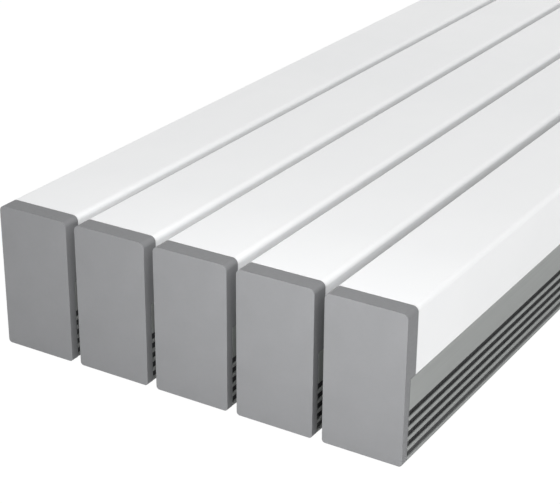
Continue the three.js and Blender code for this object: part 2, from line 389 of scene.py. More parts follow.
class Finish:
    """A node material round one Principled shader, with its texture coordinates in millimetres."""

    def __init__(self, name, **sockets):
        self.material = bpy.data.materials.new(name)
        self.material.use_nodes = True
        self.tree = self.material.node_tree
        self.shader = self.tree.nodes["Principled BSDF"]
        for key, value in sockets.items():
            self.shader.inputs[key.replace("_", " ")].default_value = value
        self.coordinates = self.tree.nodes.new("ShaderNodeTexCoord").outputs["Object"]

    def node(self, kind, **inputs):
        made = self.tree.nodes.new("ShaderNode" + kind)
        for key, value in inputs.items():
            socket = made.inputs[key.replace("_", " ")]
            if isinstance(value, bpy.types.NodeSocket):
                self.tree.links.new(value, socket)
            else:
                socket.default_value = value
        return made

    def stretched(self, x, y, z):
        """The coordinates with each axis divided by a feature size in millimetres."""
        scale = (1 / (x * MM), 1 / (y * MM), 1 / (z * MM))
        return self.node("Mapping", Vector=self.coordinates, Scale=scale).outputs[0]

    def noise(self, size, detail=2.0, roughness=0.5):
        sizes = size if isinstance(size, tuple) else (size, size, size)
        vector = self.stretched(*sizes)
        inputs = {"Vector": vector, "Scale": 1.0, "Detail": detail, "Roughness": roughness}
        return self.node("TexNoise", **inputs).outputs["Fac"]

    def cells(self, size, output="Color"):
        vector = self.stretched(size, size, size)
        return self.node("TexVoronoi", Vector=vector, Scale=1.0).outputs[output]

    def ramp(self, value, low, high, start=0.0, stop=1.0):
        """value from start..stop to low..high. They are numbers."""
        inputs = {"Value": value, "From_Min": start, "From_Max": stop, "To_Min": low, "To_Max": high}
        return self.node("MapRange", **inputs).outputs[0]

    def tones(self, value, low, high, start=0.3, stop=0.7):
        """A colour between two, by value."""
        made = self.node("ValToRGB", Fac=value)
        made.color_ramp.elements[0].position = start
        made.color_ramp.elements[0].color = (*low, 1)
        made.color_ramp.elements[1].position = stop
        made.color_ramp.elements[1].color = (*high, 1)
        return made.outputs[0]

    def colour(self, socket):
        self.tree.links.new(socket, self.shader.inputs["Base Color"])

    def gloss(self, socket):
        self.tree.links.new(socket, self.shader.inputs["Roughness"])

    def relief(self, *layers):
        """Bumps laid over each other. Each layer is a height and its depth in millimetres."""
        normal = None
        for height, depth in layers:
            inputs = {"Height": height, "Distance": depth * MM, "Strength": 1.0}
            if normal:
                inputs["Normal"] = normal
            normal = self.node("Bump", **inputs).outputs[0]
        self.tree.links.new(normal, self.shader.inputs["Normal"])


def grey(level, tint):
    return tuple(level * part for part in tint)


def enamel():
    """White powder coat: slight orange peel, satin gloss, hardly any change of tone."""
    made = Finish("white_enamel_coat", Roughness=0.34, Specular_IOR_Level=0.5)
    made.colour(made.tones(made.noise(90, 3), (0.838, 0.844, 0.850), (0.858, 0.862, 0.866)))
    made.gloss(made.ramp(made.noise(14, 4), 0.30, 0.38, 0.3, 0.7))
    made.relief((made.noise(2.6, 2), 0.012), (made.noise(0.7, 1), 0.003))
    return made.material


def cap_plastic():
    """Grey moulded plastic with a fine spark-eroded grain."""
    made = Finish("grey_cap_plastic", Roughness=0.55, Specular_IOR_Level=0.35)
    low, high = (grey(level, (1, 1.012, 1.04)) for level in (0.190, 0.201))
    made.colour(made.tones(made.noise(30, 4), low, high))
    made.gloss(made.ramp(made.noise(3, 3), 0.5, 0.62, 0.3, 0.7))
    made.relief((made.noise(0.45, 2, 0.6), 0.03), (made.cells(0.9, "Distance"), 0.02))
    return made.material


def profile_metal():
    """Coated aluminium extrusion: faint lines along its length."""
    made = Finish("grey_profile_coat", Metallic=0.25, Roughness=0.4)
    streaks = made.noise((0.5, 260, 0.5), 3)
    made.colour(made.tones(streaks, (0.276, 0.287, 0.280), (0.298, 0.309, 0.302)))
    made.gloss(made.ramp(made.noise((0.8, 120, 0.8), 2), 0.36, 0.46, 0.3, 0.7))
    made.relief((streaks, 0.004), (made.noise(0.5, 2), 0.003))
    return made.material


def zinc_sheet():
    """Hot-dip galvanised steel with its spangle."""
    made = Finish("galvanised_sheet", Metallic=1.0, Roughness=0.4)
    spangle = made.cells(9)
    made.colour(made.tones(spangle, (0.40, 0.42, 0.44), (0.58, 0.60, 0.62), 0.1, 0.9))
    made.gloss(made.ramp(spangle, 0.32, 0.5))
    made.relief((made.noise(5, 4), 0.02), (made.noise(0.6, 2), 0.004))
    return made.material


def fin_metal():
    """Bright rolled aluminium foil."""
    made = Finish("bright_fin_aluminium", Metallic=1.0, Roughness=0.3)
    streaks = made.noise((40, 40, 0.6), 3)
    made.colour(made.tones(streaks, (0.68, 0.69, 0.70), (0.80, 0.81, 0.82)))
    made.gloss(made.ramp(made.noise(4, 3), 0.24, 0.38, 0.3, 0.7))
    made.relief((made.noise(8, 3), 0.03))
    return made.material


def plain_finish(name, low, high, roughness, metallic=0.0, grain=0.8, depth=0.01):
    """Small moulded, plated or turned parts: a slight change of tone, gloss and surface."""
    made = Finish(name, Metallic=metallic, Roughness=roughness)
    made.colour(made.tones(made.noise(12 * grain, 3), low, high))
    made.gloss(made.ramp(made.noise(3 * grain, 3), roughness * 0.85, roughness * 1.2, 0.3, 0.7))
    made.relief((made.noise(grain, 2), depth))
    return made.material


ENAMEL = enamel()
CAP = cap_plastic()
PROFILE = profile_metal()
ZINC = zinc_sheet()
FIN = fin_metal()
# The comb's near-black is painted shade: it stands in for the dark inside that shows through the slots.
COMB_PAINTED_SHADE = plain_finish("comb_painted_shade_black", (0.032, 0.033, 0.034), (0.038, 0.039, 0.040), 0.6)

NYLON = plain_finish("ivory_nylon", (0.70, 0.67, 0.58), (0.76, 0.73, 0.64), 0.45)
PHENOLIC = plain_finish("black_phenolic", (0.018, 0.018, 0.019), (0.028, 0.027, 0.027), 0.4)
RUBBER = plain_finish("black_rubber", (0.020, 0.020, 0.021), (0.030, 0.030, 0.031), 0.75, depth=0.02)
CERAMIC = plain_finish("white_ceramic", (0.74, 0.72, 0.67), (0.81, 0.79, 0.75), 0.5, depth=0.02)
STEEL = plain_finish("plated_steel", (0.52, 0.53, 0.54), (0.64, 0.65, 0.66), 0.3, metallic=1.0)
SHEATH = plain_finish("oxidised_sheath", (0.30, 0.29, 0.28), (0.42, 0.41, 0.39), 0.42, metallic=1.0)
BRASS = plain_finish("brass", (0.68, 0.50, 0.22), (0.78, 0.60, 0.30), 0.3, metallic=1.0)
LIVE = plain_finish("brown_silicone", (0.16, 0.055, 0.025), (0.20, 0.07, 0.03), 0.5)
RETURN = plain_finish("blue_silicone", (0.03, 0.10, 0.34), (0.04, 0.13, 0.40), 0.5)
EARTH = plain_finish("green_silicone", (0.04, 0.22, 0.05), (0.06, 0.28, 0.07), 0.5)

# ---------------------------------------------------------------- cover


def cover_solid():
    """One folded sheet: the outer outline up and over, and the inner one back."""
    inner_half = HALF - COVER_SHEET
    inner_top = HEIGHT - COVER_SHEET
    points = [
        (HALF, COVER_EDGE), (HALF, HEIGHT), (-HALF, HEIGHT), (-HALF, COVER_EDGE),
        (-inner_half, COVER_EDGE), (-inner_half, inner_top),
        (inner_half, inner_top), (inner_half, COVER_EDGE),
    ]
    edge = 0.45
    fold = COVER_RADIUS - COVER_SHEET
    radii = [edge, COVER_RADIUS, COVER_RADIUS, edge, edge, fold, fold, edge]
    return prism(rounded(points, radii, 8), "y", -CLEAR, CLEAR)


cover_data = finished("cover_shell", [cover_solid()], ENAMEL, bevel=0.25, angle=60)
for k, x in enumerate(MODULE_X, 1):
    piece(f"cover_shell_{k}", cover_data, f"lid_{k}", x, [f"cover_{k}"])

# ---------------------------------------------------------------- end caps


def cap_outline():
    """The cap's full outline, as it shows from the front."""
    foot = CAP_FOOT_RADIUS
    points = [(-HALF, 0), (HALF, 0), (HALF, HEIGHT), (-HALF, HEIGHT)]
    return rounded(points, [foot, foot, COVER_RADIUS, COVER_RADIUS], 8)


def near_cap():
    """The near cap: an outer plate, a plug inside the lower body, a hollow rear and a spigot."""
    rear = -END + CAP_DEPTH
    shoulder = rounded(
        [
            (-PLUG_HALF, PLUG_FOOT), (PLUG_HALF, PLUG_FOOT),
            (PLUG_HALF, COVER_EDGE), (HALF, COVER_EDGE), (HALF, HEIGHT),
            (-HALF, HEIGHT), (-HALF, COVER_EDGE), (-PLUG_HALF, COVER_EDGE),
        ],
        [1.5, 1.5, 0, 0, COVER_RADIUS, COVER_RADIUS, 0, 0],
        8,
    )
    inside = PLUG_HALF - CAP_WALL
    upper = HALF - CAP_WALL
    shelf = COVER_EDGE + CAP_WALL
    pocket = rounded(
        [
            (-inside, PLUG_FOOT + CAP_WALL), (inside, PLUG_FOOT + CAP_WALL),
            (inside, shelf), (upper, shelf), (upper, HEIGHT - CAP_WALL),
            (-upper, HEIGHT - CAP_WALL), (-upper, shelf), (-inside, shelf),
        ],
        [1, 1, 1, 1, 2, 2, 1, 1],
        3,
    )
    body = combine(
        prism(cap_outline(), "y", -END, -END + CAP_FRONT),
        [prism(shoulder, "y", -END + 1, rear)],
    )
    body = combine(body, [prism(pocket, "y", -END + CAP_WALL, rear + 1)], "DIFFERENCE")

    reach = HALF - COVER_SHEET - FIT
    top = HEIGHT - COVER_SHEET - FIT
    inner = reach - SPIGOT_WALL
    fold = COVER_RADIUS - COVER_SHEET
    tongue = rounded(
        [
            (reach, SPIGOT_FOOT), (reach, top), (-reach, top), (-reach, SPIGOT_FOOT),
            (-inner, SPIGOT_FOOT), (-inner, top - SPIGOT_WALL),
            (inner, top - SPIGOT_WALL), (inner, SPIGOT_FOOT),
        ],
        [0, fold, fold, 0, 0, 1.3, 1.3, 0],
        6,
    )
    additions = [prism(tongue, "y", rear - 4, rear + SPIGOT_LENGTH)]
    for side in (-1, 1):
        centre = (side * BOSS_X, BOSS_Z)
        bore = circle(BOSS_BORE, centre, 12)
        additions.append(prism(circle(BOSS_RADIUS, centre, 20), "y", -END + 2, rear - FIT, [bore]))
    for height in CAP_SHELVES:
        half = (inside if height < shelf else upper) + 1
        thickness = (height - CAP_RIB_HALF, height + CAP_RIB_HALF)
        additions.append(block((-half, half), (-END + 2, rear - 5), thickness))
    upright = (PLUG_FOOT + 2, HEIGHT - 2)
    additions.append(block((-CAP_RIB_HALF, CAP_RIB_HALF), (-END + 2, rear - 5.5), upright))
    for addition in additions:
        body = combine(body, [addition])
    return body


near = near_cap()
cap_data = {
    "near": finished("cap_near", [near], CAP, bevel=0.4, segments=3),
    "far": finished("cap_far", [turned(near)], CAP, bevel=0.4, segments=3),
}
grommet_cuts = [
    prism(circle(GROMMET_RADIUS + FIT, (0, GROMMET_Z), 32), "y", END - 4, END + 1),
    prism(circle(GROMMET_FLANGE_RADIUS + FIT, (0, GROMMET_Z), 32), "y", END - 1.2, END + 1),
    prism(circle(GROMMET_FLANGE_RADIUS, (0, GROMMET_Z), 32), "y", END - 12, END - CAP_WALL - 0.2),
]
inlet_cap = turned(near)
for cut in grommet_cuts:
    inlet_cap = combine(inlet_cap, [cut], "DIFFERENCE")
cap_data["inlet"] = finished("cap_inlet", [inlet_cap], CAP, bevel=0.4, segments=3)
for k, x in enumerate(MODULE_X, 1):
    for end in ("near", "far"):
        shape = "inlet" if end == "far" and k == 1 else end
        piece(f"cap_{end}_{k}", cap_data[shape], "base", x, [f"end_cap_{end}_{k}"])

# ---------------------------------------------------------------- side grilles


def right_grille():
    """The extruded band with its lip, and the slats below it."""
    skin = HALF - GRILLE_SHEET
    lip_outer = HALF - COVER_SHEET - FIT
    lip_inner = lip_outer - GRILLE_SHEET
    top = GRILLE_TOP
    reach = END - CAP_FRONT - FIT
    edge = 0.45
    band = rounded(
        [
            (HALF, FIRST_SLOT_TOP), (HALF, top), (lip_outer, top), (lip_outer, top + LIP_HEIGHT),
            (lip_inner, top + LIP_HEIGHT), (lip_inner, top - GRILLE_SHEET),
            (skin, top - GRILLE_SHEET), (skin, FIRST_SLOT_TOP),
        ],
        [edge, 1.1, 0.3, edge, edge, edge, 0.3, edge],
    )
    end_strip = rectangle(skin, HALF, FIRST_SLOT_TOP, top, edge)
    solids = [prism(band, "y", -CLEAR, CLEAR)]
    for side in (-1, 1):
        solids.append(prism(end_strip, "y", *sorted([side * CLEAR, side * reach])))
    for i in range(1, SLOTS + 1):
        high = FIRST_SLOT_TOP - SLOT_HEIGHT - (i - 1) * SLOT_PITCH
        foot = FIRST_SLOT_TOP - i * SLOT_PITCH if i < SLOTS else GRILLE_FOOT
        slat_inner = HALF - (SLAT_DEPTH if i < SLOTS else FOOT_SLAT_DEPTH)
        section = [(slat_inner, foot), (HALF, foot), (HALF, high), (slat_inner, high)]
        solids.append(prism(rounded(section, [0.25, 0.25, SLAT_NOSE, 0.25], 6), "y", -reach, reach))
    return solids


def right_comb():
    """The moulded comb behind the slats, with notches over the parts that cross the bank. Its near-black
    colour is painted shade for the dark inside seen through the slots.
    """
    reach = END - CAP_FRONT - FIT
    foot, top = SLOT_FOOT + FIT, COMB_TOP
    notch_top = SLOT_FOOT + SLOT_HEIGHT
    crossings = [(-TIE_Y, TIE_WIDTH), (TIE_Y, TIE_WIDTH), (RACEWAY_Y, RACEWAY_WIDTH)]
    outline = [(-reach, top), (-reach, foot)]
    for middle, width in crossings:
        low, high = middle - width / 2 - FIT, middle + width / 2 + FIT
        outline += [(low, foot), (low, notch_top), (high, notch_top), (high, foot)]
    outline += [(reach, foot), (reach, top)]
    windows = []
    count = int(2 * (reach - 4) / COMB_PITCH)
    for i in range(count):
        middle = (i - (count - 1) / 2) * COMB_PITCH
        half = (COMB_PITCH - COMB_TOOTH) / 2
        windows.append(rectangle(middle - half, middle + half, notch_top + 1.5, top - 14))
    return prism(outline, "x", COMB_INNER, HALF - SLAT_DEPTH - 0.05, windows)


panel = right_grille()
comb = right_comb()
grille_data = {
    "right": finished("grille_panel_right", panel, PROFILE),
    "left": finished("grille_panel_left", [mirrored(part) for part in panel], PROFILE),
}
comb_data = {
    "right": finished("grille_comb_right", [comb], COMB_PAINTED_SHADE),
    "left": finished("grille_comb_left", [mirrored(comb)], COMB_PAINTED_SHADE),
}
for k, x in enumerate(MODULE_X, 1):
    for side in ("left", "right"):
        nodes = [f"grille_{side}_{k}"]
        piece(f"grille_panel_{side}_{k}", grille_data[side], "base", x, nodes)
        piece(f"grille_comb_{side}_{k}", comb_data[side], "base", x, nodes)

# ---------------------------------------------------------------- fixings


def pan_head(radius, height):
    """A screw head with a cross recess, standing on z 0."""
    profile = [
        (0, 0), (radius, 0), (radius, height * 0.45), (radius * 0.85, height * 0.8),
        (radius * 0.5, height), (0, height),
    ]
    arm, reach, recess = radius * 0.14, radius * 0.58, height * 0.4
    cuts = [
        block((-arm, arm), (-reach, reach), (recess, height + 1)),
        block((-reach, reach), (-arm, arm), (recess, height + 1)),
    ]
    return combine(lathe(profile, "z", sides=20), cuts, "DIFFERENCE")


def hex_nut(radius, height, bore):
    return prism(circle(radius, sides=6), "z", 0, height, [circle(bore, sides=16)])


def washer(radius, height, bore):
    return prism(circle(radius, sides=24), "z", 0, height, [circle(bore, sides=16)])


SMALL_HEAD = pan_head(2.1, 1.6)
LARGE_HEAD = pan_head(3.2, 2.2)
EACH_END = (("near", lambda made: made), ("far", turned))

# ---------------------------------------------------------------- tray


def tray_pan():
    """The floor tray, folded up at both ends, with slots for floor screws and holes for the cap screws."""
    middle = TRAY_TOP - TRAY_SHEET / 2
    end = CLEAR - TRAY_SHEET / 2
    fold = [(-end, FLANGE_HEIGHT), (-end, middle), (end, middle), (end, FLANGE_HEIGHT)]
    pan = prism(ribbon(fold, TRAY_SHEET, 1.2), "x", -TRAY_HALF, TRAY_HALF)
    cuts = []
    for side in (-1, 1):
        for end_side in (-1, 1):
            y = sorted([end_side * (CLEAR - 3), end_side * (CLEAR + 1)])
            cuts.append(block(sorted([side * FLANGE_HALF, side * (TRAY_HALF + 1)]), y, (TRAY_TOP + 0.1, 30)))
            cuts.append(prism(circle(1.8, (side * BOSS_X, BOSS_Z), 16), "y", *y))
        for y in FLOOR_SCREW_Y:
            slot = rectangle(-3, 3, side * y - 9, side * y + 9, 2.9, 5)
            cuts.append(prism(slot, "z", TRAY_TOP - 3, TRAY_TOP + 1))
    for cut in cuts:
        pan = combine(pan, [cut], "DIFFERENCE")
    return pan


def tray_beads():
    """Pressed ribs that stand down from the tray's underside."""
    foot = TRAY_TOP - TRAY_SHEET
    beads = []
    for x in (-BEAD_X, BEAD_X):
        outline = [(x - 3, foot + 0.1), (x - 2, foot - 0.7), (x + 2, foot - 0.7), (x + 3, foot + 0.1)]
        beads.append(prism(rounded(outline, [0, 0.6, 0.6, 0]), "y", -BEAD_REACH, BEAD_REACH))
    return beads


def cap_screws():
    """The near end's cap screws, driven from inside the tray's flange into the cap's bosses."""
    face = -CLEAR + TRAY_SHEET
    heads = [facing(LARGE_HEAD, (0, 1, 0), (x, face, BOSS_Z)) for x in (-BOSS_X, BOSS_X)]
    shank = [(0, face + 0.5), (1.4, face + 0.5), (1.4, -END + 5), (0, -END + 4)]
    return heads + [lathe(shank, "y", (x, 0, BOSS_Z), 12) for x in (-BOSS_X, BOSS_X)]


tray_data = finished("tray_pan", [tray_pan(), *tray_beads()], ZINC)
for k, x in enumerate(MODULE_X, 1):
    piece(f"tray_pan_{k}", tray_data, "base", x, [f"base_tray_{k}"])
for end, put in EACH_END:
    data = finished(f"cap_screws_{end}", [put(screw) for screw in cap_screws()], STEEL)
    for k, x in enumerate(MODULE_X, 1):
        piece(f"cap_screws_{end}_{k}", data, "base", x, replaces=[f"base_tray_{k}"])

# ---------------------------------------------------------------- heating element


def fin_pack():
    """Thin plates pressed onto the sheath, each with a collar that spaces it from the next."""
    plate = rectangle(-FIN_HALF, FIN_HALF, ROD_Z - FIN_HEIGHT / 2, ROD_Z + FIN_HEIGHT / 2, 2, 2)
    hole = circle(ROD_RADIUS, (0, ROD_Z), 16)
    collar = circle(ROD_RADIUS + COLLAR_WALL, (0, ROD_Z), 16)
    fins = []
    for i in range(int(FIN_SPAN / FIN_PITCH) + 1):
        y = i * FIN_PITCH - FIN_SPAN / 2
        front, back = y - FIN_HALF_THICKNESS, y + FIN_HALF_THICKNESS
        fins.append(prism(plate, "y", front, back, [hole]))
        fins.append(prism(collar, "y", back, y + COLLAR_LENGTH, [hole]))
    return fins


def rod_solid(profile):
    """A profile of (radius, y) turned about the element's axis."""
    return lathe(profile, "y", (0, 0, ROD_Z), 24)


sheath = rod_solid([
    (0, -ROD_HALF + 2), (3.4, -ROD_HALF + 2), (4.1, -ROD_HALF + 6),
    (4.1, ROD_HALF - 6), (3.4, ROD_HALF - 2), (0, ROD_HALF - 2),
])
far_plug = rod_solid([
    (0, ROD_HALF - 3), (3, ROD_HALF - 3), (3, ROD_HALF + 3), (2.2, ROD_HALF + 4.5), (0, ROD_HALF + 4.5),
])
far_pin = [
    rod_solid([
        (0, ROD_HALF + 2), (1.7, ROD_HALF + 2), (1.7, PIN_HALF - 0.5), (1.2, PIN_HALF), (0, PIN_HALF),
    ]),
    facing(washer(3.6, 0.8, 1.75), (0, 1, 0), (0, PIN_HALF - 6.2, ROD_Z)),
    facing(hex_nut(3.3, 2.4, 1.75), (0, 1, 0), (0, PIN_HALF - 5.3, ROD_Z)),
    facing(washer(3.2, 0.8, 1.75), (0, 1, 0), (0, PIN_HALF - 2.6, ROD_Z)),
]
element_pieces = [
    ("element_fins", finished("element_fins", fin_pack(), FIN), "fin_aluminium"),
    ("element_sheath", finished("element_sheath", [sheath], SHEATH), None),
    ("element_plugs", finished("element_plugs", [far_plug, turned(far_plug)], CERAMIC), None),
    ("element_pins", finished("element_pins", far_pin + [turned(part) for part in far_pin], STEEL), None),
]
for k, x in enumerate(MODULE_X, 1):
    for name, data, slot in element_pieces:
        piece(f"{name}_{k}", data, "base", x, [f"finned_element_{k}"])

# ---------------------------------------------------------------- element brackets


def near_bracket():
    """A folded sheet bracket: a foot on the tray, turned-in sides and a wide head inside the cover."""
    back, front = -BRACKET_Y - BRACKET_SHEET, -BRACKET_Y
    head = HALF - COVER_SHEET - FIT
    plate = rounded(
        [
            (-BRACKET_HALF, BLOCK_FOOT), (BRACKET_HALF, BLOCK_FOOT),
            (BRACKET_HALF, HEAD_FOOT), (head, HEAD_FOOT), (head, HEAD_TOP),
            (-head, HEAD_TOP), (-head, HEAD_FOOT), (-BRACKET_HALF, HEAD_FOOT),
        ],
        [0, 0, 1.5, 1.5, 3, 3, 1.5, 1.5],
    )
    holes = [
        circle(6.2, (0, ROD_Z), 28),
        rectangle(-12, 12, 20, 42, 4),
        rectangle(-20, 20, HEAD_FOOT + 3.5, HEAD_TOP - 3.5, 2.4),
        circle(3.4, (RETURN_X, RETURN_Z), 20),
        circle(3.4, (-RETURN_X, RETURN_Z), 20),
    ]
    bracket = prism(plate, "y", back, front, holes)
    foot = (BLOCK_FOOT, BLOCK_FOOT + BRACKET_SHEET)
    bracket = combine(bracket, [block((-BRACKET_HALF, BRACKET_HALF), (back + 0.5, front + 14), foot)])
    for side in (-1, 1):
        turn_in = sorted([side * (BRACKET_HALF - 1.2), side * BRACKET_HALF])
        flap = block(turn_in, (back + 0.5, front + 6), (BLOCK_FOOT + 5, HEAD_FOOT - 3))
        bracket = combine(bracket, [flap])
    return bracket


def rod_bush():
    """The ceramic bush that carries the rod in the near bracket."""
    back, front = -BRACKET_Y - BRACKET_SHEET, -BRACKET_Y
    bore, neck, flange = ROD_RADIUS + 0.1, 6, 7.6
    return rod_solid([
        (bore, back - 2.4), (flange - 0.5, back - 2.4), (flange, back - 1.9),
        (flange, back - 0.2), (neck, back - 0.2), (neck, front + 0.2), (flange, front + 0.2),
        (flange, front + 1.9), (flange - 0.5, front + 2.4), (bore, front + 2.4),
    ])


def lead_bush(x):
    """A rubber bush in one of the near bracket's lead holes."""
    back, front = -BRACKET_Y - BRACKET_SHEET, -BRACKET_Y
    profile = [
        (1.7, back - 1.2), (4.2, back - 1.2), (4.6, back - 0.1), (3.3, back - 0.1),
        (3.3, front + 0.1), (4.6, front + 0.1), (4.2, front + 1.2), (1.7, front + 1.2),
    ]
    return lathe(profile, "y", (x, 0, RETURN_Z), 20)


bracket = near_bracket()
foot_screws = [
    facing(LARGE_HEAD, (0, 0, 1), (x, -BRACKET_Y + 8, BLOCK_FOOT + BRACKET_SHEET)) for x in (-16, 16)
]
for end, put in EACH_END:
    bushes = [put(lead_bush(RETURN_X)), put(lead_bush(-RETURN_X))]
    bracket_pieces = [
        ("bracket_sheet", finished(f"bracket_sheet_{end}", [put(bracket)], ZINC, bevel=0.25), "zinc_sheet"),
        ("rod_bush", finished(f"rod_bush_{end}", [put(rod_bush())], CERAMIC), None),
        ("lead_bush", finished(f"lead_bush_{end}", bushes, RUBBER), "rubber_black"),
        ("foot_screw", finished(f"foot_screw_{end}", [put(screw) for screw in foot_screws], STEEL), None),
    ]
    for k, x in enumerate(MODULE_X, 1):
        for name, data, slot in bracket_pieces:
            piece(f"{name}_{end}_{k}", data, "base", x, [f"bracket_{end}_{k}"])

# ---------------------------------------------------------------- terminal block and cut-out

BLOCK_HALF = 21
BLOCK_DEPTH = 12
SHELF_Z = BLOCK_FOOT + 8.8
BLOCK_TOP = BLOCK_FOOT + 16
ENTRY_Z = BLOCK_FOOT + 12
SCREW_REACH = 4.2


def terminal_body():
    """A moulded base with one tower for each way, bored for the wires and their clamping screws."""
    base = rectangle(-BLOCK_HALF, BLOCK_HALF, BLOCK_Y - BLOCK_DEPTH, BLOCK_Y + BLOCK_DEPTH, 1.5)
    body = prism(base, "z", BLOCK_FOOT, SHELF_Z)
    for x in WAYS:
        tower = rectangle(x - 5.6, x + 5.6, BLOCK_Y - 7.7, BLOCK_Y + 7.7, 1)
        body = combine(body, [prism(tower, "z", BLOCK_FOOT + 1, BLOCK_TOP)])
    for x in WAYS:
        entry = prism(circle(2.2, (x, ENTRY_Z), 16), "y", BLOCK_Y - 20, BLOCK_Y + 20)
        body = combine(body, [entry], "DIFFERENCE")
        for y in (BLOCK_Y - SCREW_REACH, BLOCK_Y + SCREW_REACH):
            well = prism(circle(2.7, (x, y), 20), "z", BLOCK_TOP - 2.6, BLOCK_TOP + 1)
            body = combine(body, [well], "DIFFERENCE")
    return body


def clamp_tubes():
    """A brass tube in each way, which holds the wires under its screws."""
    tubes = []
    for x in WAYS:
        bore = circle(1.6, (x, ENTRY_Z), 16)
        tubes.append(prism(circle(2.1, (x, ENTRY_Z), 16), "y", BLOCK_Y - 6.8, BLOCK_Y + 6.8, [bore]))
    return tubes


def block_screws():
    heads = [
        facing(SMALL_HEAD, (0, 0, 1), (x, BLOCK_Y + side * SCREW_REACH, BLOCK_TOP - 2.7))
        for x in WAYS for side in (-1, 1)
    ]
    return heads + [
        facing(SMALL_HEAD, (0, 0, 1), (x, BLOCK_Y + side * 9.8, SHELF_Z - 0.05))
        for x in (-7, 7) for side in (-1, 1)
    ]


CUTOUT_BACK = BRACKET_Y + BRACKET_SHEET + FIT
TAB_X = (CUTOUT_X - 4, CUTOUT_X + 4)


def cutout_flange():
    outline = rectangle(CUTOUT_X - 11, CUTOUT_X + 11, CUTOUT_Z - 5, CUTOUT_Z + 5, 3)
    holes = [circle(1.7, (CUTOUT_X + side * 9, CUTOUT_Z), 14) for side in (-1, 1)]
    cup = [
        (0, CUTOUT_BACK + 0.1), (7.4, CUTOUT_BACK + 0.1), (7.4, CUTOUT_BACK + 3), (7, CUTOUT_BACK + 3.4),
        (0, CUTOUT_BACK + 3.4),
    ]
    screws = [
        facing(SMALL_HEAD, (0, 1, 0), (CUTOUT_X + side * 9, CUTOUT_BACK + 0.8, CUTOUT_Z)) for side in (-1, 1)
    ]
    plate = prism(outline, "y", CUTOUT_BACK, CUTOUT_BACK + 0.8, holes)
    return [plate, lathe(cup, "y", (CUTOUT_X, 0, CUTOUT_Z), 32), *screws]


def cutout_drum():
    profile = [
        (0, CUTOUT_BACK + 3.4), (7.1, CUTOUT_BACK + 3.4), (7.1, CUTOUT_BACK + 8.4), (6.5, CUTOUT_BACK + 9),
        (0, CUTOUT_BACK + 9),
    ]
    return lathe(profile, "y", (CUTOUT_X, 0, CUTOUT_Z), 32)


def cutout_tabs():
    tabs = []
    for x in TAB_X:
        outline = rectangle(CUTOUT_BACK + 8.5, CUTOUT_BACK + 15, CUTOUT_Z - 3, CUTOUT_Z + 3, 0.8)
        hole = circle(0.9, (CUTOUT_BACK + 12.5, CUTOUT_Z), 12)
        tabs.append(prism(outline, "x", x - 0.4, x + 0.4, [hole]))
    return tabs


def tab_sleeves():
    """Insulating boots over the push-on terminals."""
    sleeves = []
    for x in TAB_X:
        outline = rectangle(x - 1.9, x + 1.9, CUTOUT_Z - 3.8, CUTOUT_Z + 3.8, 0.9)
        sleeves.append(prism(outline, "y", CUTOUT_BACK + 10.2, CUTOUT_BACK + 20))
    return sleeves


wiring_pieces = [
    (name, finished(name, solids, material, bevel), slot, node)
    for name, solids, material, bevel, slot, node in (
        ("terminal_body", [terminal_body()], NYLON, 0.3, "block_nylon", "terminal_block"),
        ("terminal_clamps", clamp_tubes(), BRASS, 0, None, "terminal_block"),
        ("terminal_screws", block_screws(), STEEL, 0, None, "terminal_block"),
        ("cutout_flange", cutout_flange(), STEEL, 0, None, "thermal_cutout"),
        ("cutout_drum", [cutout_drum()], PHENOLIC, 0, "cutout_black", "thermal_cutout"),
        ("cutout_tabs", cutout_tabs(), BRASS, 0, None, "thermal_cutout"),
        ("tab_sleeves", tab_sleeves(), NYLON, 0.4, None, "thermal_cutout"),
    )
]
for k, x in enumerate(MODULE_X, 1):
    for name, data, slot, node in wiring_pieces:
        piece(f"{name}_{k}", data, "base", x, [f"{node}_{k}"])

# ---------------------------------------------------------------- leads inside each module

LEFT_WAY, EARTH_WAY, RIGHT_WAY = WAYS
NEAR_ENTRY = BLOCK_Y - 8
FAR_ENTRY = BLOCK_Y + 8
STUD_X, STUD_Y = 16, 400


def drop(x):
    """A wire from the far side of one way down into the raceway."""
    low = x * 0.22
    return [
        (x, FAR_ENTRY, ENTRY_Z), (x, BLOCK_Y + 16, ENTRY_Z),
        (low, RACEWAY_Y - 3, ENTRY_Z - 1), (low, RACEWAY_Y, 6.3),
    ]


live_path = [
    (0, PIN_HALF - 2.2, ROD_Z + 3), (0, PIN_HALF + 3, ROD_Z + 9), (3, PIN_HALF, CUTOUT_Z + 6),
    (TAB_X[0], BLOCK_Y - 8, CUTOUT_Z + 4), (TAB_X[0], BLOCK_Y - 18, CUTOUT_Z),
    (TAB_X[0], CUTOUT_BACK + 19, CUTOUT_Z),
]
switched_path = [
    (TAB_X[1], CUTOUT_BACK + 19, CUTOUT_Z), (TAB_X[1], CUTOUT_BACK + 27, CUTOUT_Z),
    (TAB_X[1], CUTOUT_BACK + 27, ENTRY_Z + 18), (RIGHT_WAY, BLOCK_Y - 19, ENTRY_Z),
    (RIGHT_WAY, NEAR_ENTRY, ENTRY_Z),
]
return_path = [
    (0, -PIN_HALF + 2.2, ROD_Z - 3), (0, -PIN_HALF - 4, ROD_Z - 9), (-12, -PIN_HALF - 4, 26),
    (RETURN_X, -PIN_HALF + 8, RETURN_Z), (RETURN_X, BRACKET_Y + 14, RETURN_Z),
    (LEFT_WAY, BLOCK_Y - 20, ENTRY_Z), (LEFT_WAY, NEAR_ENTRY, ENTRY_Z),
]
earth_path = [
    (EARTH_WAY, NEAR_ENTRY, ENTRY_Z), (EARTH_WAY, BLOCK_Y - 18, ENTRY_Z - 3),
    (STUD_X - 9, STUD_Y + 3, 7), (STUD_X - 3, STUD_Y, 6.6),
]
lead_pieces = [
    ("lead_live", LIVE, [live_path, switched_path, drop(RIGHT_WAY)]),
    ("lead_return", RETURN, [return_path, drop(LEFT_WAY)]),
    ("lead_earth", EARTH, [earth_path, drop(EARTH_WAY)]),
]
